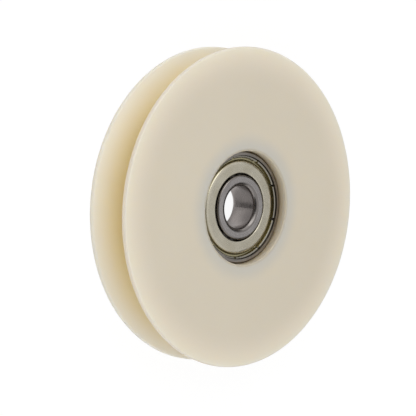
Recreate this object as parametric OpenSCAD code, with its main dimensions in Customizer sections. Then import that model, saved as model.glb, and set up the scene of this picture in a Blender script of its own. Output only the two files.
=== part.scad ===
// V groove wheel: a plastic wheel turned in one piece, with a V groove round its rim,
// running on one shielded deep groove ball bearing pressed into its middle.
// The wheel lies on its rear face. Z is the axle's axis, and z = 0 is the rear face.

/* [Wheel] */
// Outside diameter of the two flanges
wheel_d = 90; // [75:1:110]
// Width over the two flat faces
wheel_width = 14.5; // [12:0.5:20]
// Width of the narrow flat land left on the rim beside the groove
rim_land = 1.3; // [1:0.1:2]
// Angle between the two walls of the V groove, in degrees
groove_angle = 60; // [50:1:90]
// Radius at the bottom of the V groove
groove_root_r = 1; // [0.5:0.1:1.6]
// Radius that breaks the sharp edges of the rim
edge_break = 0.4; // [0.2:0.05:0.5]
// Radius that breaks the edges of the hole in both faces
hole_break = 0.4; // [0.2:0.05:0.5]
// Radial width of the ledge that the bearing is pressed against
ledge_w = 2; // [1:0.1:3]
// Radial room between the bearing seat and the outer ring, nil being a plain press fit
seat_room = 0.01; // [0:0.01:0.03]

/* [Bearing rings] */
// Bore of the inner ring
bore_d = 12; // [10.5:0.1:13.5]
// Outside diameter of the outer ring
bearing_d = 32; // [29:0.5:36]
// Width of both rings
bearing_width = 10; // [9.4:0.1:11.5]
// Depth of the raceway below the inner ring's shoulders
inner_race_depth = 1.15; // [0.9:0.05:1.3]
// Depth of the raceway below the outer ring's shoulders
outer_race_depth = 1.05; // [0.8:0.05:1.2]
// Corner radius at the ends of the axle bore
bore_corner_r = 1.3; // [0.5:0.1:1.5]
// Corner radius at the outside of the inner ring's faces
inner_corner_r = 0.6; // [0.3:0.1:0.8]
// Corner radius at the outside of the outer ring's faces
outer_corner_r = 0.6; // [0.3:0.1:0.7]

/* [Balls and cage] */
// Ball diameter
ball_d = 5.953; // [5.2:0.05:6.6]
// How much the raceway's radius exceeds the ball's
race_extra = 0.12; // [0.05:0.01:0.2]
// Running room between a ball and each raceway
ball_room = 0.02; // [0.01:0.01:0.05]
// Thickness of the sheet that the cage is pressed from
cage_t = 0.5; // [0.35:0.05:0.55]
// Radial gap between the cage and the shoulders of both rings
cage_gap = 0.9; // [0.6:0.05:1]
// Room between a ball and its pocket
pocket_room = 0.1; // [0.05:0.01:0.1]
// Shank diameter of the cage rivets
rivet_d = 0.9; // [0.7:0.05:1]
// Width of a rivet's head beyond its shank
rivet_rim = 0.35; // [0.2:0.05:0.4]
// Height of a rivet's head
rivet_head_h = 0.35; // [0.25:0.05:0.45]

/* [Shields] */
// Thickness of the sheet that the shields are pressed from
shield_t = 0.3; // [0.25:0.05:0.35]
// Depth of the shield's flat below the ring faces
shield_drop = 0.5; // [0.4:0.05:0.6]
// Radial gap between the shield's inner lip and the inner ring
shield_gap = 0.4; // [0.35:0.05:0.6]
// Length of the inner lip that turns in towards the balls
shield_lip = 0.5; // [0.4:0.05:0.6]
// Depth of the channel between the flat and the curled rim
shield_step = 0.7; // [0.6:0.05:0.8]
// Width of the channel's floor, up to the middle of the curl
channel_w = 0.85; // [0.7:0.05:1]
// Outer radius of the bend at the shield's inner lip
bend_r = 0.4; // [0.35:0.05:0.45]
// Outer radius of the wide bend where the flat falls away to the channel
brow_r = 1.2; // [0.8:0.1:1.4]
// Outer radius of the curl that is crimped into the outer ring
curl_r = 0.55; // [0.5:0.05:0.6]
// Width of the crimping notches that slit the curl
notch_w = 0.7; // [0.4:0.05:0.9]
// Number of crimping notches
notch_count = 9; // [6:1:12]
// Angle of the first notch from the X axis, in degrees
notch_turn = -9; // [-20:1:20]
// Radial width of the outer ring's face beside the shield
ring_face_w = 1.3; // [1.1:0.1:1.6]
// Thickness of the ring's edge that overhangs the curl
mouth_lip = 0.35; // [0.25:0.05:0.4]
// How far the groove under that edge reaches behind it
undercut = 0.28; // [0.2:0.02:0.36]
// Room between a shield and its groove in the outer ring
crimp_room = 0.03; // [0.01:0.01:0.05]

/* [Hidden] */
$fn = 96;

// Overrun of a cut past the face that it opens
over = 1;
mid_z = wheel_width / 2;
wheel_r = wheel_d / 2;
seat_r = bearing_d / 2 + seat_room;
ledge_r = seat_r - ledge_w;
ledge_t = (wheel_width - bearing_width) / 2;

// V groove: the walls meet at the tip, and the root circle touches both of them
wall_angle = groove_angle / 2;
groove_open = wheel_width - 2 * rim_land;
tip_r = wheel_r - groove_open / 2 / tan(wall_angle);
root_touch = groove_root_r / tan(wall_angle);
mouth_over = over * tan(wall_angle);

// Bearing, measured from its middle plane; the balls run midway between bore and outside
half_w = bearing_width / 2;
bore_r = bore_d / 2;
outer_or = bearing_d / 2;
pitch_r = (bore_r + outer_or) / 2;
ball_r = ball_d / 2;
ball_count = 7;
ball_step = 360 / ball_count;
race_r = ball_r + race_extra;
inner_floor_r = pitch_r - ball_r - ball_room;
outer_floor_r = pitch_r + ball_r + ball_room;
inner_or = inner_floor_r + inner_race_depth;
outer_ir = outer_floor_r - outer_race_depth;

// Cage, pressed with a spherical pocket round each ball
pocket_r = ball_r + pocket_room;
band_ir = inner_or + cage_gap;
band_or = outer_ir - cage_gap;
rivet_head_r = rivet_d / 2 + rivet_rim;

// Shield section, from the crimped rim inwards
mouth_r = outer_or - ring_face_w;
undercut_r = mouth_r + undercut;
curl_x = undercut_r - crimp_room - curl_r;
foot_r = curl_x - channel_w;
step_angle = 45;
flat_r = foot_r - shield_step / tan(step_angle);
lip_ir = inner_or + shield_gap;
flat_z = half_w - shield_drop;
channel_z = flat_z - shield_step;
curl_z = channel_z - shield_t + curl_r;
seat_z = channel_z - shield_t - crimp_room;

// Unit vector at an angle
function dir(a) = [cos(a), sin(a)];

// What is cut away to round the corner p between two faces that leave it at the angles a and b
module corner_cut(p, a, b, r) {
    half = abs(b - a) / 2;
    middle = (a + b) / 2;
    centre = p + dir(middle) * r / sin(half);
    difference() {
        polygon([p - dir(middle) * r / 8, p + dir(a) * r / tan(half), centre, p + dir(b) * r / tan(half)]);
        translate(centre) circle(r);
    }
}

// Half section of the wheel, radius along X and height along Y
module wheel_section() {
    difference() {
        translate([seat_r, 0]) square([wheel_r - seat_r, wheel_width]);
        translate([0, mid_z]) groove_section();
        corner_cut([wheel_r, 0], 90, 180, edge_break);
        corner_cut([wheel_r, wheel_width], 180, 270, edge_break);
        corner_cut([wheel_r, rim_land], 180 - wall_angle, 270, edge_break);
        corner_cut([wheel_r, wheel_width - rim_land], 90, 180 + wall_angle, edge_break);
        corner_cut([seat_r, wheel_width], -90, 0, hole_break);
    }
    ledge_section();
}

module groove_section() {
    touch = tip_r + root_touch * cos(wall_angle);
    half_touch = root_touch * sin(wall_angle);
    half_mouth = groove_open / 2 + mouth_over;
    polygon([[touch, -half_touch], [wheel_r + over, -half_mouth],
             [wheel_r + over, half_mouth], [touch, half_touch]]);
    translate([tip_r + groove_root_r / sin(wall_angle), 0]) circle(groove_root_r);
}

// The ledge at the rear that the outer ring is pressed against
module ledge_section() {
    difference() {
        translate([ledge_r, 0]) square([ledge_w, ledge_t]);
        corner_cut([ledge_r, 0], 0, 90, hole_break);
        corner_cut([ledge_r, ledge_t], -90, 0, hole_break);
    }
}

module wheel() {
    color([0.91, 0.87, 0.76])
        rotate_extrude()
            wheel_section();
}

module outer_ring_section() {
    difference() {
        translate([outer_ir, -half_w]) square([outer_or - outer_ir, bearing_width]);
        translate([outer_floor_r - race_r, 0]) circle(race_r);
        for (side = [0, 1]) mirror([0, side]) {
            shield_groove_section();
            corner_cut([outer_or, half_w], 180, 270, outer_corner_r);
        }
    }
}

// Mouth at the ring's face, and the undercut behind it that the curl is crimped into
module shield_groove_section() {
    translate([outer_ir - over, seat_z]) square([mouth_r - outer_ir + over, half_w - seat_z + over]);
    translate([outer_ir, seat_z]) square([undercut_r - outer_ir, half_w - mouth_lip - seat_z]);
}

module outer_ring() {
    color([0.55, 0.53, 0.52])
        translate([0, 0, mid_z])
            rotate_extrude()
                outer_ring_section();
}

module inner_ring_section() {
    difference() {
        translate([bore_r, -half_w]) square([inner_or - bore_r, bearing_width]);
        translate([inner_floor_r + race_r, 0]) circle(race_r);
        for (side = [0, 1]) mirror([0, side]) {
            corner_cut([bore_r, half_w], -90, 0, bore_corner_r);
            corner_cut([inner_or, half_w], 180, 270, inner_corner_r);
        }
    }
}

module inner_ring() {
    color([0.62, 0.60, 0.60])
        translate([0, 0, mid_z])
            rotate_extrude()
                inner_ring_section();
}

// Pressed sheet: an inner lip turned in, a raised flat, a sloping step, a channel and a curled rim
module shield_section() {
    bend = shield_t * tan(step_angle / 2);
    down = 360 - step_angle;
    difference() {
        polygon([[lip_ir, flat_z], [lip_ir, flat_z - shield_lip],
                 [lip_ir + shield_t, flat_z - shield_lip], [lip_ir + shield_t, flat_z - shield_t],
                 [flat_r - bend, flat_z - shield_t], [foot_r - bend, channel_z - shield_t],
                 [curl_x, channel_z - shield_t], [curl_x, channel_z], [foot_r, channel_z],
                 [flat_r, flat_z]]);
        corner_cut([lip_ir, flat_z], -90, 0, bend_r);
        corner_cut([flat_r, flat_z], 180, down, brow_r);
    }
    // The inside of the wide bend, filled so that the sheet keeps its thickness
    corner_cut([flat_r - bend, flat_z - shield_t], 180, down, brow_r - shield_t);
    translate([curl_x, curl_z]) curl_section();
}

// The curl runs from the channel round the outside and back over the top
module curl_section() {
    end_angle = 130;
    difference() {
        circle(curl_r);
        circle(curl_r - shield_t);
        polygon([[0, 0], dir(-90) * 2 * curl_r, dir(-135) * 3 * curl_r, dir(180) * 3 * curl_r,
                 dir(end_angle) * 2 * curl_r]);
    }
}

// Slits right through the curl, which also clear the channel where the curl hangs over it
module crimp_notches() {
    for (i = [0 : notch_count - 1])
        rotate([0, 0, notch_turn + i * 360 / notch_count]) {
            notch_cut(curl_x - curl_r, channel_z);
            notch_cut(curl_x, seat_z);
        }
}

// One cut from that radius outwards, and from that height up to the ring's face
module notch_cut(start_r, floor_z) {
    translate([start_r, -notch_w / 2, floor_z])
        cube([3 * curl_r, notch_w, half_w - floor_z]);
}

module shield() {
    color([0.66, 0.64, 0.57])
        difference() {
            rotate_extrude() shield_section();
            crimp_notches();
        }
}

module front_shield() {
    translate([0, 0, mid_z]) shield();
}

module rear_shield() {
    translate([0, 0, mid_z]) mirror([0, 0, 1]) shield();
}

module at_balls() {
    for (i = [0 : ball_count - 1])
        rotate([0, 0, i * ball_step])
            translate([pitch_r, 0, 0])
                children();
}

module at_rivets() {
    for (i = [0 : ball_count - 1])
        rotate([0, 0, (i + 0.5) * ball_step])
            translate([(band_ir + band_or) / 2, 0, 0])
                children();
}

// One half of the cage: a flat ribbon that swells into a half pocket over each ball
module cage_half() {
    color([0.60, 0.60, 0.58])
        difference() {
            intersection() {
                rotate_extrude()
                    translate([band_ir, 0]) square([band_or - band_ir, pocket_r + cage_t]);
                union() {
                    cylinder(r = band_or + over, h = cage_t);
                    at_balls() sphere(pocket_r + cage_t);
                }
            }
            at_balls() sphere(pocket_r);
            at_rivets() translate([0, 0, -over]) cylinder(d = rivet_d, h = cage_t + 2 * over);
        }
}

module cage_front() {
    translate([0, 0, mid_z]) cage_half();
}

module cage_rear() {
    translate([0, 0, mid_z]) mirror([0, 0, 1]) cage_half();
}

// Half section of a rivet: a shank through both ribbons, and a domed head at each end
module rivet_section() {
    dome_r = (rivet_head_r * rivet_head_r + rivet_head_h * rivet_head_h) / (2 * rivet_head_h);
    translate([0, -cage_t]) square([rivet_d / 2, 2 * cage_t]);
    for (side = [0, 1]) mirror([0, side])
        intersection() {
            translate([0, cage_t]) square([rivet_head_r, rivet_head_h]);
            translate([0, cage_t + rivet_head_h - dome_r]) circle(dome_r);
        }
}

module cage_rivets() {
    color([0.70, 0.70, 0.68])
        translate([0, 0, mid_z])
            at_rivets()
                rotate_extrude() rivet_section();
}

module ball(i) {
    color([0.80, 0.80, 0.82])
        translate([0, 0, mid_z])
            rotate([0, 0, (i - 1) * ball_step])
                translate([pitch_r, 0, 0])
                    sphere(ball_r);
}

wheel();
outer_ring();
inner_ring();
front_shield();
rear_shield();
cage_front();
cage_rear();
cage_rivets();
ball(1);  // ball_1
ball(2);  // ball_2
ball(3);  // ball_3
ball(4);  // ball_4
ball(5);  // ball_5
ball(6);  // ball_6
ball(7);  // ball_7
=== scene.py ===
# %% [markdown]
# # A V groove wheel on a shielded ball bearing
#
# This lesson dresses a guide wheel: a disc of natural nylon with a V groove turned into its rim,
# and a deep groove ball bearing pressed into its hub. The bearing's solids come from the CAD model
# as they are. Here they get their finishes, the nylon disc is turned again as a smooth mesh that
# light can sink into, and a small studio is built round the part.
#
# All lengths in Blender are metres. The drawing sizes below are in millimetres, so one factor, `MM`,
# turns them.

# %% Load the solid model
import math

import bmesh
import bpy
from mathutils import Matrix, Vector


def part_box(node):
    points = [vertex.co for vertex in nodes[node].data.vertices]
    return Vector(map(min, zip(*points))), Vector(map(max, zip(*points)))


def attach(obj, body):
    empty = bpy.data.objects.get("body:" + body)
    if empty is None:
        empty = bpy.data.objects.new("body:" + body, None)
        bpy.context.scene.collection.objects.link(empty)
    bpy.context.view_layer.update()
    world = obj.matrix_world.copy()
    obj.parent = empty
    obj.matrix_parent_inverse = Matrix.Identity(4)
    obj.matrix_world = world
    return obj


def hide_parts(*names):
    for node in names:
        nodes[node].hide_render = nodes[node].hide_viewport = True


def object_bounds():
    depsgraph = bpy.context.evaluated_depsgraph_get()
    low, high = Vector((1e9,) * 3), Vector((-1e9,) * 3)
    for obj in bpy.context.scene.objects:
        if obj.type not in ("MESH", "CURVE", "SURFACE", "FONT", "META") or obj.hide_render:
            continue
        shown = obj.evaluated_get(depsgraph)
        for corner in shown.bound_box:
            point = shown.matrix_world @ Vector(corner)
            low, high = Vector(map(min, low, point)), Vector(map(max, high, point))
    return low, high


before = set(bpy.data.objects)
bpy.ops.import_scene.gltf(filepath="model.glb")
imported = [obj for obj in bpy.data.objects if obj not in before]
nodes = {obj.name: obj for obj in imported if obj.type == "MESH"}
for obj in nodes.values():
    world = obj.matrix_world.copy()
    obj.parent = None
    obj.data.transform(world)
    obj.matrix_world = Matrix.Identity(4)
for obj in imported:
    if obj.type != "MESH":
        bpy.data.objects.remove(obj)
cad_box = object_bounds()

MM = 0.001
print("CAD box in mm:", [[round(v / MM, 2) for v in corner] for corner in cad_box])
print("nodes:", ", ".join(sorted(nodes)))

# %% [markdown]
# ## The disc's section
#
# The real disc is sawn from a nylon bar and turned in a lathe: two flat faces, a V groove with a
# small radius at its root, edges that are broken with a file, and a stepped hole for the bearing.
# A lathe makes a body of revolution, so the natural way in Blender is the same: draw half of the
# section once and spin it. The corners stay sharp in the drawing, and are rounded after the spin with
# the bevel operator, because that gives each edge its own radius and leaves the flats truly flat.
#
# The sizes are read off the CAD solid's box where that gives them, so that the mesh always fills the
# same space.

# %% Measure the disc
low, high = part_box("wheel")
rim_r = high[0]
face_z = high[2]
half_w = face_z / 2
ring_low, ring_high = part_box("outer_ring")
seat_r = ring_high[0] + 0.01 * MM
ledge_z = ring_low[2]
ledge_r = seat_r - 2 * MM
land_w = 1.3 * MM
groove_half_angle = math.radians(30)
root_radius = 1 * MM
edge_radius = 0.4 * MM
hole_radius = 0.4 * MM

groove_half_w = half_w - land_w
tip_r = rim_r - groove_half_w / math.tan(groove_half_angle)
diameter, width = high[0] - low[0], high[2] - low[2]
print(f"disc: diameter {diameter / MM:.1f} mm, width {width / MM:.1f} mm, seat {2 * seat_r / MM:.2f} mm")
print(f"groove: {2 * groove_half_w / MM:.1f} mm wide, tip at radius {tip_r / MM:.1f} mm")

# %% [markdown]
# ## Spin the section
#
# `spin` sweeps the closed outline round the Z axis in `TURN_STEPS` steps. With `use_merge` the last
# step is welded to the first, so there is no seam. The operator has no idea which side is outside,
# so the normals are recalculated at the end of the turning.

# %% Turn the disc
TURN_STEPS = 240
WELD_GAP = 0.001 * MM
section = [
    (ledge_r, 0), (rim_r, 0), (rim_r, land_w), (tip_r, half_w), (rim_r, face_z - land_w),
    (rim_r, face_z), (seat_r, face_z), (seat_r, ledge_z), (ledge_r, ledge_z),
]

disc = bmesh.new()
corners = [disc.verts.new((r, 0, z)) for r, z in section]
outline = [disc.edges.new((a, b)) for a, b in zip(corners, corners[1:] + corners[:1])]
bmesh.ops.spin(
    disc, geom=corners + outline, cent=(0, 0, 0), axis=(0, 0, 1), dvec=(0, 0, 0),
    angle=2 * math.pi, steps=TURN_STEPS, use_merge=True, use_duplicate=False,
)
bmesh.ops.remove_doubles(disc, verts=disc.verts, dist=WELD_GAP)
bmesh.ops.recalc_face_normals(disc, faces=disc.faces)
print("turned:", len(disc.verts), "vertices,", len(disc.faces), "faces")

# %% [markdown]
# ## Round the edges
#
# A bevel of a few segments with a profile of 0.5 is a circular round. Its offset is measured along
# the faces, from the sharp edge to where the round begins. On a square corner that is the radius
# itself. At the groove's root the walls stand 60 degrees apart, and the round begins at
# radius / tan(30 degrees) from the tip.


# %% Round each ring of edges
SAME_RING = 0.004 * MM


def ring_of_edges(mesh, radius, height):
    """The edges that run round the axis at this radius and height."""
    def on_ring(vert):
        return (abs(math.hypot(vert.co.x, vert.co.y) - radius) < SAME_RING
                and abs(vert.co.z - height) < SAME_RING)
    return [edge for edge in mesh.edges if all(on_ring(vert) for vert in edge.verts)]


def round_ring(mesh, radius, height, offset, segments):
    """Rounds that ring of edges, starting at the offset from it on both faces."""
    edges = ring_of_edges(mesh, radius, height)
    bmesh.ops.bevel(
        mesh, geom=edges, offset=offset, offset_type="OFFSET", affect="EDGES",
        segments=segments, profile=0.5, material=-1,
    )
    return len(edges)


for radius, height in ((rim_r, 0), (rim_r, land_w), (rim_r, face_z - land_w), (rim_r, face_z)):
    round_ring(disc, radius, height, edge_radius, 5)
for radius, height in ((seat_r, face_z), (ledge_r, 0), (ledge_r, ledge_z)):
    round_ring(disc, radius, height, hole_radius, 4)
round_ring(disc, tip_r, half_w, root_radius / math.tan(groove_half_angle), 12)
bmesh.ops.recalc_face_normals(disc, faces=disc.faces)
for face in disc.faces:
    face.smooth = True
print("rounded:", len(disc.verts), "vertices,", len(disc.faces), "faces")

# %% [markdown]
# ## Shade the flats flat
#
# Smooth shading averages the normals of all faces that meet at a vertex. Beside a thin round that
# would tilt the light over the whole flat. The Weighted Normal modifier lets the larger face win, so
# the flats stay flat and only the rounds turn.

# %% Make the disc an object
disc_mesh = bpy.data.meshes.new("wheel_disc")
disc.to_mesh(disc_mesh)
disc.free()
wheel_disc = bpy.data.objects.new("wheel_disc", disc_mesh)
bpy.context.scene.collection.objects.link(wheel_disc)
weighted = wheel_disc.modifiers.new("flat_faces", "WEIGHTED_NORMAL")
weighted.mode = "FACE_AREA"
weighted.keep_sharp = True

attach(wheel_disc, "wheel_body")
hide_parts("wheel")
print(wheel_disc.name, "is finished by the modifier", weighted.name)

# %% [markdown]
# ## Tools for the materials
#
# Colours are written as sRGB hex values, as in any paint program. The shader wants linear light, so
# one function turns them. A second function adds a node to a material with its settings, its values
# and its links in one call, which keeps each recipe short enough to read.


# %% Colour and node helpers
def linear(hex_colour):
    """An sRGB hex colour as linear red, green, blue and alpha."""
    channels = [int(hex_colour[i:i + 2], 16) / 255 for i in (0, 2, 4)]
    bent = [c / 12.92 if c <= 0.04045 else ((c + 0.055) / 1.055) ** 2.4 for c in channels]
    return (*bent, 1.0)


def add(material, kind, values=None, **settings):
    """Adds one node. Each value is a number or colour, or a socket to link from."""
    node = material.node_tree.nodes.new(kind)
    for name, setting in settings.items():
        setattr(node, name, setting)
    for socket, value in (values or {}).items():
        if isinstance(value, bpy.types.NodeSocket):
            material.node_tree.links.new(value, node.inputs[socket])
        else:
            node.inputs[socket].default_value = value
    return node


def empty_material(name):
    """A material with nothing in it."""
    material = bpy.data.materials.new(name)
    material.use_nodes = True
    material.node_tree.nodes.clear()
    return material


print("mid grey, 808080, is", round(linear("808080")[0], 3), "in linear light")

# %% [markdown]
# ## Round coordinates
#
# Everything here is turned, ground or rolled round the Z axis, so its fine marks run in circles. A
# few measures describe them best: the distance from the axis, the height, how far a point lies from
# the middle plane, and a vector of length one that says which way round it is. Feeding noise with a
# quickly changing distance and a slowly changing direction draws streaks that follow the circles and
# close without a seam. On an upright wall the distance stays the same, so a share of the height is
# added to it, and the streaks there are about three times as wide.


# %% Measures round the axis
WALL_STRETCH = 0.35


def measure(material):
    """Sockets for a point's place and for its measures round the Z axis."""
    place = add(material, "ShaderNodeTexCoord").outputs["Object"]
    height = add(material, "ShaderNodeSeparateXYZ", {"Vector": place}).outputs["Z"]
    flat = add(material, "ShaderNodeVectorMath", {0: place, 1: (1, 1, 0)}, operation="MULTIPLY").outputs[0]
    rise = add(material, "ShaderNodeMath", {0: height, 1: half_w}, operation="SUBTRACT").outputs[0]
    return {
        "place": place,
        "height": height,
        "off_middle": add(material, "ShaderNodeMath", {0: rise}, operation="ABSOLUTE").outputs[0],
        "distance": add(material, "ShaderNodeVectorMath", {0: flat}, operation="LENGTH").outputs["Value"],
        "direction": add(material, "ShaderNodeVectorMath", {0: flat}, operation="NORMALIZE").outputs[0],
    }


def lay_noise(material, at, pitch, along, detail=3.0):
    """Noise in streaks round the axis: pitch is their spacing, along how often they change in a turn."""
    travel = add(material, "ShaderNodeMath", {0: at["height"], 1: WALL_STRETCH, 2: at["distance"]},
                 operation="MULTIPLY_ADD").outputs[0]
    across = add(material, "ShaderNodeMath", {0: travel, 1: 1 / pitch}, operation="MULTIPLY").outputs[0]
    lifted = add(material, "ShaderNodeCombineXYZ", {"Z": across}).outputs[0]
    turned = add(material, "ShaderNodeVectorMath", {0: at["direction"], "Scale": along},
                 operation="SCALE").outputs[0]
    spot = add(material, "ShaderNodeVectorMath", {0: turned, 1: lifted}, operation="ADD").outputs[0]
    return add(material, "ShaderNodeTexNoise",
               {"Vector": spot, "Scale": 1.0, "Detail": detail, "Roughness": 0.6}).outputs[0]


# %% [markdown]
# ## Zones
#
# One piece is seldom one colour. A zone is a tint and a list of fades. Each fade names a measure and
# the two values between which its share rises smoothly from 0 to 1, and the tint shows where all the
# shares are high. Because the measures are those of the part and not of the camera, the zones stay
# where they are when the part turns.


# %% Mix tints over a colour
def tint_zones(material, at, colour, zones):
    """The colour socket with each zone's tint mixed over it."""
    for tint, fades in zones:
        share = 1.0
        for name, start, end in fades:
            fade = add(material, "ShaderNodeMapRange",
                       {"Value": at[name], "From Min": start, "From Max": end},
                       interpolation_type="SMOOTHSTEP").outputs[0]
            share = add(material, "ShaderNodeMath", {0: fade, 1: share}, operation="MULTIPLY").outputs[0]
        colour = add(material, "ShaderNodeMix", {0: share, 6: colour, 7: linear(tint)},
                     data_type="RGBA").outputs[2]
    return colour


# %% [markdown]
# ## Natural nylon
#
# The disc is natural polyamide, which is milky: light enters, scatters between the crystals and
# leaves a few millimetres away, warmer than it came. Subsurface scattering does the same in the
# shader. Its radius is longest for red and shortest for blue.
#
# The same block looks different from place to place, and most of that is light and shade painted into
# the colour. The thin edge of a flange lets light through, and a painted glow makes it nearly white.
# The front flange's land gets a duller painted shade, which tones down the light on its rounds. The
# groove is deep and sees mostly itself, so its root gets a honey coloured painted shade. Round the hole
# the steel behind the plastic takes light from it, which is painted as a grey shade, the hole's edge
# gets a darker painted shade, and the wall of the recess a brown painted shade where it meets the ring.
#
# Turned nylon has tool marks about a quarter of a millimetre apart. They are too fine to show, so
# they are drawn 0.7 mm apart and very shallow.

# %% Nylon
NYLON_COLOUR = "e8dfcc"
NYLON_CLOUD = "e4dbc8"
# Painted light and shade: a glow on the thin edges, and shades on the hub, the groove's root, the land, the
# hole's edge and the recess wall.
PAINTED_EDGE_GLOW = "f0e8d8"
PAINTED_LAND_SHADE = "ded4c6"
PAINTED_HUB_SHADE = "d5d2c9"
PAINTED_GROOVE_SHADE = "e3d2a2"
PAINTED_HOLE_EDGE_SHADE = "c6beae"
PAINTED_RECESS_SHADE = "bfaa84"
CLOUD_SIZE = 22 * MM
MARK_PITCH = 0.7 * MM
MARK_DEPTH = 0.02 * MM
SCATTER_LENGTH = 3 * MM
NYLON_ROUGHNESS = (0.36, 0.5)

nylon_zones = [
    # painted glow: the flange edges are lightened towards the rim
    (PAINTED_EDGE_GLOW, [("distance", rim_r - 10 * MM, rim_r + 1 * MM)]),
    # painted shade: the face is greyed towards the hole, where the steel behind it takes light
    (PAINTED_HUB_SHADE, [("distance", seat_r + 6 * MM, seat_r)]),
    # painted shade: the groove's root is tinted honey and darker, for the light it loses inside
    (PAINTED_GROOVE_SHADE, [("distance", rim_r + 0.5 * MM, tip_r + 2.5 * MM), ("distance", seat_r + 1 * MM, tip_r),
                   ("off_middle", half_w - 0.1 * MM, half_w - land_w)]),
    # painted shade: the front flange's land is dulled, to tone down the light on its rounds
    (PAINTED_LAND_SHADE, [("distance", rim_r - 0.4 * MM, rim_r - 0.1 * MM),
                  ("height", half_w - 6 * MM, half_w + 6 * MM)]),
    # painted shade: the round on the hole's edge is darkened
    (PAINTED_HOLE_EDGE_SHADE, [("distance", seat_r + 1 * MM, seat_r + 0.2 * MM),
                 ("off_middle", half_w - 0.8 * MM, half_w - 0.2 * MM)]),
    # painted shade: the recess wall is browned and darkened where it meets the ring
    (PAINTED_RECESS_SHADE, [("distance", seat_r + 1.2 * MM, seat_r),
                   ("off_middle", half_w + 0.8 * MM, ring_high[2] - half_w - 1 * MM)]),
]

nylon = empty_material("natural_nylon")
at = measure(nylon)
clouds = add(nylon, "ShaderNodeTexNoise", {"Vector": at["place"], "Scale": 1 / CLOUD_SIZE, "Detail": 3.0})
plain = add(nylon, "ShaderNodeMix", {0: clouds.outputs[0], 6: linear(NYLON_COLOUR), 7: linear(NYLON_CLOUD)},
            data_type="RGBA")
colour = tint_zones(nylon, at, plain.outputs[2], nylon_zones)
marks = lay_noise(nylon, at, MARK_PITCH, 1.5, detail=2.0)
smooth, rough = NYLON_ROUGHNESS
sheen = add(nylon, "ShaderNodeMapRange", {"Value": marks, "From Min": 0.3, "From Max": 0.7,
                                          "To Min": smooth, "To Max": rough})
relief = add(nylon, "ShaderNodeBump", {"Height": marks, "Strength": 0.12, "Distance": MARK_DEPTH})
body = add(nylon, "ShaderNodeBsdfPrincipled", {
    "Base Color": colour, "Roughness": sheen.outputs[0], "IOR": 1.53, "Normal": relief.outputs[0],
    "Subsurface Weight": 1.0, "Subsurface Radius": (0.9, 0.85, 0.7), "Subsurface Scale": SCATTER_LENGTH,
})
add(nylon, "ShaderNodeOutputMaterial", {"Surface": body.outputs[0]})
disc_mesh.materials.append(nylon)
print("nylon:", len(nylon_zones), "zones, light travels about", round(SCATTER_LENGTH / MM, 1), "mm")

# %% [markdown]
# ## Bearing steel
#
# Rings and balls are through-hardened chromium steel. The rings are ground, which leaves a fine lay
# of scratches round the axis. Grinding grit leaves marks a few hundredths of a millimetre apart, so
# the lay is drawn ten times coarser, with a little change in roughness and a trace of relief. Two
# colours, brighter and duller, are mixed by the streaks and by slow stains, as on any handled part.
# One recipe serves every metal here, because they differ only in colour, roughness and lay.


# %% A recipe for worked metal
def worked_metal(name, bright, dull, roughness, pitch, depth, stain_size, zones=()):
    """Metal between two colours, with streaks round the axis, slow stains and tinted zones."""
    material = empty_material(name)
    at = measure(material)
    streaks = lay_noise(material, at, pitch, 2.0)
    stains = add(material, "ShaderNodeTexNoise",
                 {"Vector": at["place"], "Scale": 1 / stain_size, "Detail": 4.0})
    blend = add(material, "ShaderNodeMath", {0: streaks, 1: stains.outputs[0]}, operation="MULTIPLY")
    amount = add(material, "ShaderNodeMapRange",
                 {"Value": blend.outputs[0], "From Min": 0.12, "From Max": 0.4})
    plain = add(material, "ShaderNodeMix", {0: amount.outputs[0], 6: linear(dull), 7: linear(bright)},
                data_type="RGBA")
    colour = tint_zones(material, at, plain.outputs[2], zones)
    gloss = add(material, "ShaderNodeMapRange", {"Value": streaks, "From Min": 0.3, "From Max": 0.7,
                                                 "To Min": roughness - 0.05, "To Max": roughness + 0.07})
    relief = add(material, "ShaderNodeBump", {"Height": streaks, "Strength": 0.25, "Distance": depth})
    shader = add(material, "ShaderNodeBsdfPrincipled", {
        "Base Color": colour, "Metallic": 1.0, "Roughness": gloss.outputs[0], "Normal": relief.outputs[0],
    })
    add(material, "ShaderNodeOutputMaterial", {"Surface": shader.outputs[0]})
    return material


# %% [markdown]
# ## Rings and balls
#
# The two rings come from the same steel. The inner ring's face is ground bright, and the outer corner
# of that face, beside the gap to the shield, gets a darker painted shade. Its bore slides on the shaft and
# is honed, and it gets a grey painted shade, so that it mirrors what is below it dimmer. The corner
# between bore and face gets a darker painted shade too. The outer ring is painted darker and browner, as
# a painted reflection of the brown nylon wall beside it, its outer edge gets a darker painted shade, and
# the pocket where the shield's curl snaps in is painted nearly black as shade. The balls are lapped and
# polished, and mirror what is round them.

# %% Steel of the rings and the balls
PAINTED_BORE_SHADE = "97908d"
PAINTED_BORE_CORNER_SHADE = "8d8885"
PAINTED_RING_EDGE_SHADE = "8a8582"
PAINTED_POCKET_SHADE = "2e2b27"
PAINTED_SHOULDER_SHADE = "6f6a64"
GRIND_PITCH = 0.3 * MM

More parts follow.
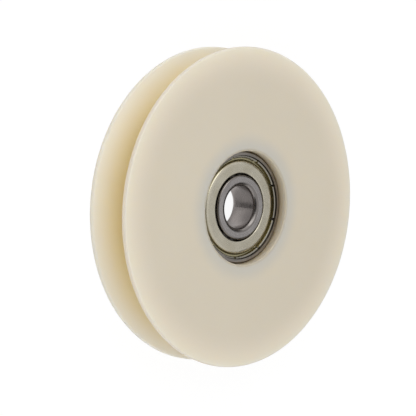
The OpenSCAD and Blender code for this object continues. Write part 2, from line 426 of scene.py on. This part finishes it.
inner_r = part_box("inner_ring")[1][0]
bore_r = 6 * MM
inner_zones = [
    # painted shade: the bore wall is darkened, so that it mirrors what is below it dimmer
    (PAINTED_BORE_SHADE, [("distance", bore_r + 0.1 * MM, bore_r + 0.02 * MM)]),
    # painted shade: the corner between bore and face is darkened
    (PAINTED_BORE_CORNER_SHADE, [("distance", bore_r + 0.02 * MM, bore_r + 0.2 * MM),
                   ("distance", bore_r + 1.25 * MM, bore_r + 1 * MM)]),
    # painted shade: the outer corner of the ring's face, beside the gap to the shield, is darkened
    (PAINTED_RING_EDGE_SHADE, [("distance", inner_r - 0.7 * MM, inner_r - 0.3 * MM)]),
]
outer_zones = [
    # painted shade: the pocket where the shield's curl snaps in is nearly black
    (PAINTED_POCKET_SHADE, [("distance", ring_high[0] - 1.2 * MM, ring_high[0] - 1.35 * MM)]),
    # painted shade: the outer edge of the ring's face, beside the nylon wall, is darkened
    (PAINTED_SHOULDER_SHADE, [("distance", ring_high[0] - 0.6 * MM, ring_high[0] - 0.3 * MM)]),
]
inner_steel = worked_metal("ground_inner_ring_steel", "c4c0be", "a8a3a2", 0.26, GRIND_PITCH, 0.004 * MM,
                           5 * MM, inner_zones)
# painted reflection: the outer ring's colours are darker and browner than the inner ring's, for the brown
# nylon wall it mirrors
outer_steel = worked_metal("ground_outer_ring_steel", "aaa49e", "8f8983", 0.28, GRIND_PITCH, 0.004 * MM,
                           5 * MM, outer_zones)
ball_steel = worked_metal("polished_ball_steel", "d2d0ce", "c2bfbd", 0.10, 0.6 * MM, 0.001 * MM, 3 * MM)
print("ring diameters in mm:", [round(2 * r / MM, 2) for r in (bore_r, inner_r, ring_high[0])])

# %% [markdown]
# ## Pressed sheet
#
# The shields and the cage are pressed from cold rolled strip, and the press leaves them smoother than
# the ground rings. The yellow tint of the shields is a painted reflection of the cream nylon round them.
# Everything deeper than the shield's flat, the channel inside the curled rim most of all, gets an olive
# painted shade and reflection. The curl itself is tinted darker grey. The cage is inside and only shows
# through the narrow gaps.

# %% Shields, cage and rivets
PAINTED_OLIVE_SHADE = "b5ad8c"
DARKER_CURL_GREY = "a39e93"

shield_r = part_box("front_shield")[1][0]
flat_off_middle = ring_high[2] - 0.5 * MM - half_w
shield_zones = [
    # the curl is tinted darker grey
    (DARKER_CURL_GREY, [("distance", shield_r - 1.1 * MM, shield_r - 0.8 * MM)]),
    # painted shade and reflection: everything deeper than the shield's flat, most of all the channel inside
    # the curl, is tinted olive and darker
    (PAINTED_OLIVE_SHADE, [("off_middle", flat_off_middle - 0.06 * MM, flat_off_middle - 0.45 * MM)]),
]
# painted reflection: the yellow tint of both shield colours stands for the cream nylon they mirror
shield_sheet = worked_metal("shield_sheet_painted_reflection", "e2dccb", "cfc8b4", 0.24, 0.8 * MM, 0.003 * MM,
                            4 * MM, shield_zones)
cage_sheet = worked_metal("pressed_cage_sheet", "b4afa6", "938e86", 0.34, 0.8 * MM, 0.004 * MM, 4 * MM)
print("shield diameter:", round(2 * shield_r / MM, 2), "mm")

# %% [markdown]
# ## Put the finishes on
#
# The solids of the bearing stay as they came, and only their material slots are filled. Every node
# without a finish of its own is one of the balls.

# %% Fill the material slots
finishes = {
    "inner_ring": inner_steel, "outer_ring": outer_steel,
    "front_shield": shield_sheet, "rear_shield": shield_sheet,
    "cage_front": cage_sheet, "cage_rear": cage_sheet, "cage_rivets": cage_sheet,
    "wheel": nylon,
}
for name, node in nodes.items():
    finish = finishes.get(name, ball_steel)
    for material_slot in node.material_slots:
        material_slot.material = finish
    print(name, "->", finish.name)

# %% [markdown]
# ## The floor
#
# Small parts are photographed on a white sheet in a light tent. The floor is that sheet. One large
# square is enough, and it lies a hair below the part, so that the two never share a plane.

# %% White sheet
FLOOR_SIZE = 6.0
FLOOR_GAP = 0.02 * MM

floor_shape = bmesh.new()
bmesh.ops.create_grid(floor_shape, x_segments=1, y_segments=1, size=FLOOR_SIZE / 2)
bmesh.ops.translate(floor_shape, verts=floor_shape.verts, vec=(0, 0, cad_box[0][2] - FLOOR_GAP))
floor_mesh = bpy.data.meshes.new("floor")
floor_shape.to_mesh(floor_mesh)
floor_shape.free()
floor = bpy.data.objects.new("floor", floor_mesh)
bpy.context.scene.collection.objects.link(floor)
print(f"floor: {FLOOR_SIZE:.0f} m square, {FLOOR_GAP / MM:.2f} mm below the part")

# %% [markdown]
# ## Which rays see the background
#
# The Light Path node tells what kind of ray asks for a colour. The share below is 1 for the rays
# that make the background visible, directly, in metal or through something clear, and 0 for those
# that light the part. The floor and the tent both use it.


# %% Rays that see the background
def background_rays(material):
    """1 for rays from the camera, from mirrors and through clear things, and 0 for the rest."""
    rays = add(material, "ShaderNodeLightPath").outputs
    indirect = add(material, "ShaderNodeMath", {0: rays["Is Glossy Ray"], 1: rays["Is Transmission Ray"]},
                   operation="MAXIMUM")
    seen = add(material, "ShaderNodeMath", {0: rays["Is Camera Ray"], 1: indirect.outputs[0]},
               operation="MAXIMUM")
    return seen.outputs[0]


# %% [markdown]
# ## White paper
#
# The sheet is uncoated paper: matte, nearly white, with fibres that cloud it a little. It keeps the
# part's soft shadow. What a camera sees of it, directly or in a mirror, is mostly its own glow, so
# that it meets the white tent without an edge and the bearing's bore mirrors a white sheet.
# Everything else gets only the light that the paper scatters.

# %% Paper
FLOOR_GLOW = 0.88
PAPER_WHITE = 1.05
FIBRE_SIZE = 2 * MM

paper = empty_material("white_paper")
paper_place = add(paper, "ShaderNodeTexCoord").outputs["Object"]
fibres = add(paper, "ShaderNodeTexNoise", {"Vector": paper_place, "Scale": 1 / FIBRE_SIZE, "Detail": 3.0})
shade = add(paper, "ShaderNodeMix", {0: fibres.outputs[0], 6: linear("f2f2f0"), 7: linear("f8f8f6")},
            data_type="RGBA")
matte = add(paper, "ShaderNodeBsdfDiffuse", {"Color": shade.outputs[2]})
glow = add(paper, "ShaderNodeEmission", {"Color": (1, 1, 1, 1), "Strength": PAPER_WHITE})
share = add(paper, "ShaderNodeMath", {0: background_rays(paper), 1: FLOOR_GLOW}, operation="MULTIPLY")
both = add(paper, "ShaderNodeMixShader", {0: share.outputs[0], 1: matte.outputs[0], 2: glow.outputs[0]})
add(paper, "ShaderNodeOutputMaterial", {"Surface": both.outputs[0]})
floor_mesh.materials.append(paper)
print("paper: glow share", FLOOR_GLOW, "and fibres", round(FIBRE_SIZE / MM, 1), "mm apart")

# %% [markdown]
# ## Light
#
# The world is the tent. What falls from it on the part is dimmer than what the camera sees of it. Two
# soft boxes of different strength stand high and low on the camera's side. They light the faces
# evenly, and the groove between the flanges stays a little darker. Two weak boxes stand almost level
# with the wheel and reach into the ends of the groove, which the others miss. Only the strongest box
# shows in the metal.
#
# Light that enters milky nylon and the narrow groove leaves them after many bounces, so more diffuse
# bounces than the usual four are followed.

# %% World and soft boxes
AMBIENT = 0.52
BOX_DISTANCE = 0.8

world = bpy.data.worlds.new("light_tent")
world.use_nodes = True
world.node_tree.nodes.clear()
strength = add(world, "ShaderNodeMapRange",
               {"Value": background_rays(world), "To Min": AMBIENT, "To Max": 1.0})
tent = add(world, "ShaderNodeBackground", {"Color": (1, 1, 1, 1), "Strength": strength.outputs[0]})
add(world, "ShaderNodeOutputWorld", {"Surface": tent.outputs[0]})
bpy.context.scene.world = world
bpy.context.scene.cycles.diffuse_bounces = 12


def soft_box(name, toward, size, power):
    """A square lamp of that size in metres, which stands in that direction from the part and faces it."""
    aim = Vector((0, 0, half_w))
    direction = Vector(toward).normalized()
    lamp = bpy.data.lights.new(name, "AREA")
    lamp.shape = "SQUARE"
    lamp.size = size
    lamp.energy = power
    holder = bpy.data.objects.new(name, lamp)
    turn = direction.to_track_quat("Z", "Y").to_matrix().to_4x4()
    holder.matrix_world = Matrix.Translation(aim + direction * BOX_DISTANCE) @ turn
    bpy.context.scene.collection.objects.link(holder)
    return holder


high_box = soft_box("high_soft_box", (-0.44, 0.66, 0.61), 0.8, 2.5)
matte_boxes = [
    soft_box("low_soft_box", (-0.44, -0.66, 0.61), 0.6, 1.2),
    soft_box("upper_groove_box", (-0.3, 0.93, 0.2), 0.4, 0.22),
    soft_box("lower_groove_box", (-0.3, -0.93, 0.2), 0.4, 0.4),
]
for box in matte_boxes:
    box.visible_glossy = False
print("soft boxes in W:", [round(box.data.energy, 2) for box in (high_box, *matte_boxes)])

# %% [markdown]
# ## Cards for the metal
#
# Bright metal has hardly any colour of its own: it shows what stands round it. In a tent of one
# white it would look like paper, so a photographer hangs grey and black cards where the metal
# mirrors them and leaves the light on the rest alone. Each card here glows evenly, and its strength is
# the tone that the metal shows. Only mirrors see it.


# %% A card for the mirrors
def card(name, corners, strength):
    """A flat card that only mirrors see, through these corners, in metres."""
    shape = bmesh.new()
    shape.faces.new([shape.verts.new(corner) for corner in corners])
    mesh = bpy.data.meshes.new(name)
    shape.to_mesh(mesh)
    shape.free()
    board = bpy.data.objects.new(name, mesh)
    bpy.context.scene.collection.objects.link(board)
    for kind_of_ray in ("camera", "diffuse", "transmission", "volume_scatter", "shadow"):
        setattr(board, "visible_" + kind_of_ray, False)
    coating = empty_material(name)
    tone = add(coating, "ShaderNodeEmission", {"Color": (1, 1, 1, 1), "Strength": strength})
    add(coating, "ShaderNodeOutputMaterial", {"Surface": tone.outputs[0]})
    mesh.materials.append(coating)
    return board


# %% [markdown]
# ## Round the studio
#
# The grey roof greys the flat faces. The dark roof and the card behind the camera darken the slopes
# that lean towards the camera, and the side card darkens those on the far side.


# %% Hang the large cards
ROOF_HEIGHT = 0.95
ROOF_HALF_WIDTH = 1.2
ROOF_SEAM = -0.45


def level_card(name, height, corners, strength):
    """A card that lies level at that height."""
    return card(name, [(x, y, height) for x, y in corners], strength)


def roof_card(name, start, end, strength):
    """A card overhead that reaches from one X to another."""
    side = ROOF_HALF_WIDTH
    corners = [(start, -side), (end, -side), (end, side), (start, side)]
    return level_card(name, ROOF_HEIGHT, corners, strength)


def upright_card(name, x, half_width, height, strength):
    """A card that stands on the floor across the X axis."""
    corners = [(x, -half_width, 0), (x, half_width, 0), (x, half_width, height), (x, -half_width, height)]
    return card(name, corners, strength)


large_cards = [
    roof_card("grey_roof", ROOF_SEAM, 1.2, 0.66),
    roof_card("dark_roof", -1.4, ROOF_SEAM, 0.2),
    upright_card("camera_card", -0.6, 0.9, 0.9, 0.08),
    upright_card("side_card", 0.75, 1, 0.62, 0.04),
]
print("large cards:", ", ".join(board.name for board in large_cards))

# %% [markdown]
# ## Under the bore
#
# The bore's wall mirrors the floor below it. A pointed card there draws the soft dark band along the
# wall. Its two sides follow the lines where the wall mirrors the floor at -2 and at 13 degrees from the
# X axis. Two paler cards beside it dim the wall above the band and, below it, the end that lies near
# the bearing's face. Their corners are in millimetres.

# %% Lay the cards under the bore
BORE_CARD_HEIGHT = 0.4 * MM

bore_cards = [
    ("bore_band", [(3.4, 0), (-20, 1.7), (-12, -7.3)], 0.12),
    ("upper_bore_wall", [(3.4, 0), (-12, -7.3), (-12, -20), (15, -20), (15, 0)], 0.57),
    ("bore_mouth", [(-3, 1), (4, 5), (15, 5), (15, 20), (-20, 20), (-20, 1.7)], 0.5),
]
for name, corners, strength in bore_cards:
    level_card(name, BORE_CARD_HEIGHT, [(x * MM, y * MM) for x, y in corners], strength)
print("cards under the bore:", ", ".join(name for name, corners, strength in bore_cards))

# %% [markdown]
# ## Camera
#
# The camera looks down on the wheel at about 45 degrees, from the side of the negative X axis, and is
# turned so that the wheel seems to stand upright in the picture. A long lens keeps the two flanges
# nearly the same size.

# %% Camera
TILT = math.radians(44.438)
ROLL = math.radians(6.8)
STAND = Vector((-0.26971, -0.00126, 0.27400))
FOCAL_LENGTH = 115.42

lens = bpy.data.cameras.new("camera")
lens.sensor_width = 36.0
lens.lens = FOCAL_LENGTH
lens.clip_start = 0.01
camera = bpy.data.objects.new("camera", lens)
camera.matrix_world = (Matrix.Translation(STAND)
                       @ Matrix.Rotation(-TILT, 4, "Y") @ Matrix.Rotation(ROLL, 4, "Z"))
bpy.context.scene.collection.objects.link(camera)
bpy.context.scene.camera = camera
bpy.context.scene.view_settings.view_transform = "Standard"
print(f"camera: {STAND.length / MM:.0f} mm away, looks down {90 - math.degrees(TILT):.0f} degrees")
